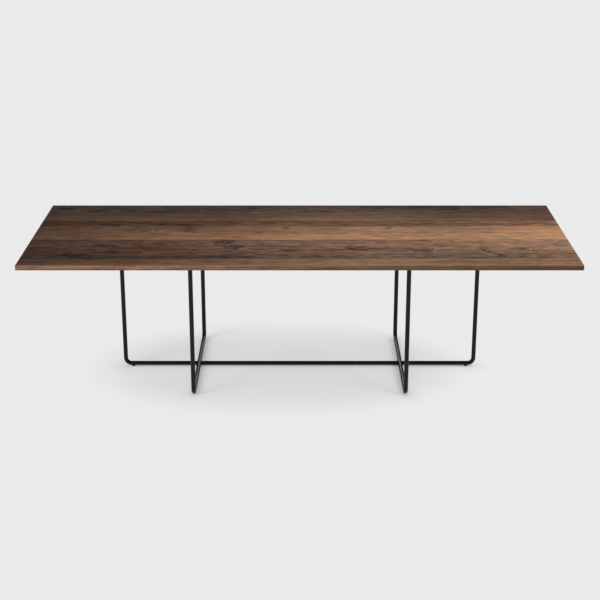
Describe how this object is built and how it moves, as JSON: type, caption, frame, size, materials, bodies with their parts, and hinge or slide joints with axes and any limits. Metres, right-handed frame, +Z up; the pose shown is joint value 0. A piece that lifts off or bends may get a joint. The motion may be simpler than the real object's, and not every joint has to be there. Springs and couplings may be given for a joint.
{
  "type": "conference table",
  "caption": "Long plank-topped meeting table on a bent steel tube base, with cross frames, a long floor bar and levelling glides.",
  "frame": {"origin": "on the floor, under the middle of the top", "axes": "+X along the top to the right, +Y to the back, +Z up"},
  "size_m": [2.7, 1.05, 0.73],
  "materials": {
    "board_1_wood": "oiled dark wood, satin",
    "board_2_wood": "oiled dark wood, satin",
    "board_3_wood": "oiled dark wood, satin",
    "board_4_wood": "oiled dark wood, satin",
    "board_5_wood": "oiled dark wood, satin",
    "board_6_wood": "oiled dark wood, satin",
    "tongue_wood": "bare wood",
    "black_paint": "black satin powder coat",
    "zinc_steel": "zinc plated",
    "black_steel": "blackened",
    "black_plastic": "fine matt"
  },
  "bodies": {
    "frame": {"top_board_1": "board_1_wood", "top_board_2": "board_2_wood", "top_board_3": "board_3_wood", "top_board_4": "board_4_wood", "top_board_5": "board_5_wood", "top_board_6": "board_6_wood", "board_tongue_1": "tongue_wood", "board_tongue_2": "tongue_wood", "board_tongue_3": "tongue_wood", "board_tongue_4": "tongue_wood", "board_tongue_5": "tongue_wood", "end_rail_left": "black_paint", "cross_rail_left": "black_paint", "end_rail_right": "black_paint", "cross_rail_right": "black_paint", "cross_frame_left": "black_paint", "cross_frame_right": "black_paint", "end_leg_left": "black_paint", "end_leg_right": "black_paint", "centre_stretcher": "black_paint", "end_rail_left_screw_1": "zinc_steel", "end_rail_left_screw_2": "zinc_steel", "end_rail_left_screw_3": "zinc_steel", "end_rail_left_screw_4": "zinc_steel", "cross_rail_left_screw_1": "zinc_steel", "cross_rail_left_screw_2": "zinc_steel", "cross_rail_left_screw_3": "zinc_steel", "cross_rail_left_screw_4": "zinc_steel", "end_rail_right_screw_1": "zinc_steel", "end_rail_right_screw_2": "zinc_steel", "end_rail_right_screw_3": "zinc_steel", "end_rail_right_screw_4": "zinc_steel", "cross_rail_right_screw_1": "zinc_steel", "cross_rail_right_screw_2": "zinc_steel", "cross_rail_right_screw_3": "zinc_steel", "cross_rail_right_screw_4": "zinc_steel", "spigot_left": "zinc_steel", "spigot_right": "zinc_steel", "glide_bush_left_end": "zinc_steel", "glide_bush_left_back": "zinc_steel", "glide_bush_left_front": "zinc_steel", "glide_bush_right_end": "zinc_steel", "glide_bush_right_back": "zinc_steel", "glide_bush_right_front": "zinc_steel", "grub_screw_left_inner": "black_steel", "grub_screw_left_outer": "black_steel", "grub_screw_right_inner": "black_steel", "grub_screw_right_outer": "black_steel"},
    "left_end_stud": {"glide_stud_left_end": "zinc_steel"},
    "left_end_pad": {"glide_pad_left_end": "black_plastic"},
    "left_back_stud": {"glide_stud_left_back": "zinc_steel"},
    "left_back_pad": {"glide_pad_left_back": "black_plastic"},
    "left_front_stud": {"glide_stud_left_front": "zinc_steel"},
    "left_front_pad": {"glide_pad_left_front": "black_plastic"},
    "right_end_stud": {"glide_stud_right_end": "zinc_steel"},
    "right_end_pad": {"glide_pad_right_end": "black_plastic"},
    "right_back_stud": {"glide_stud_right_back": "zinc_steel"},
    "right_back_pad": {"glide_pad_right_back": "black_plastic"},
    "right_front_stud": {"glide_stud_right_front": "zinc_steel"},
    "right_front_pad": {"glide_pad_right_front": "black_plastic"}
  },
  "joints": [
    {"name": "left_end_height", "type": "slide", "parent": "frame", "child": "left_end_stud", "axis": [0, 0, -1], "range_m": [0, 0.008]},
    {"name": "left_end_turn", "type": "hinge", "parent": "left_end_stud", "child": "left_end_pad", "pos_m": [-0.8767, 0, 0.0037], "axis": [0, 0, -1], "range_deg": [0, 2880]},
    {"name": "left_back_height", "type": "slide", "parent": "frame", "child": "left_back_stud", "axis": [0, 0, -1], "range_m": [0, 0.008]},
    {"name": "left_back_turn", "type": "hinge", "parent": "left_back_stud", "child": "left_back_pad", "pos_m": [-0.5308, 0.358, 0.0037], "axis": [0, 0, -1], "range_deg": [0, 2880]},
    {"name": "left_front_height", "type": "slide", "parent": "frame", "child": "left_front_stud", "axis": [0, 0, -1], "range_m": [0, 0.008]},
    {"name": "left_front_turn", "type": "hinge", "parent": "left_front_stud", "child": "left_front_pad", "pos_m": [-0.5308, -0.358, 0.0037], "axis": [0, 0, -1], "range_deg": [0, 2880]},
    {"name": "right_end_height", "type": "slide", "parent": "frame", "child": "right_end_stud", "axis": [0, 0, -1], "range_m": [0, 0.008]},
    {"name": "right_end_turn", "type": "hinge", "parent": "right_end_stud", "child": "right_end_pad", "pos_m": [0.8767, 0, 0.0037], "axis": [0, 0, -1], "range_deg": [0, 2880]},
    {"name": "right_back_height", "type": "slide", "parent": "frame", "child": "right_back_stud", "axis": [0, 0, -1], "range_m": [0, 0.008]},
    {"name": "right_back_turn", "type": "hinge", "parent": "right_back_stud", "child": "right_back_pad", "pos_m": [0.5308, 0.358, 0.0037], "axis": [0, 0, -1], "range_deg": [0, 2880]},
    {"name": "right_front_height", "type": "slide", "parent": "frame", "child": "right_front_stud", "axis": [0, 0, -1], "range_m": [0, 0.008]},
    {"name": "right_front_turn", "type": "hinge", "parent": "right_front_stud", "child": "right_front_pad", "pos_m": [0.5308, -0.358, 0.0037], "axis": [0, 0, -1], "range_deg": [0, 2880]}
  ],
  "couplings": [
    {"joint": "left_end_turn", "follows": "left_end_height", "rad_per_m": 6283.2},
    {"joint": "left_back_turn", "follows": "left_back_height", "rad_per_m": 6283.2},
    {"joint": "left_front_turn", "follows": "left_front_height", "rad_per_m": 6283.2},
    {"joint": "right_end_turn", "follows": "right_end_height", "rad_per_m": 6283.2},
    {"joint": "right_back_turn", "follows": "right_back_height", "rad_per_m": 6283.2},
    {"joint": "right_front_turn", "follows": "right_front_height", "rad_per_m": 6283.2}
  ]
}
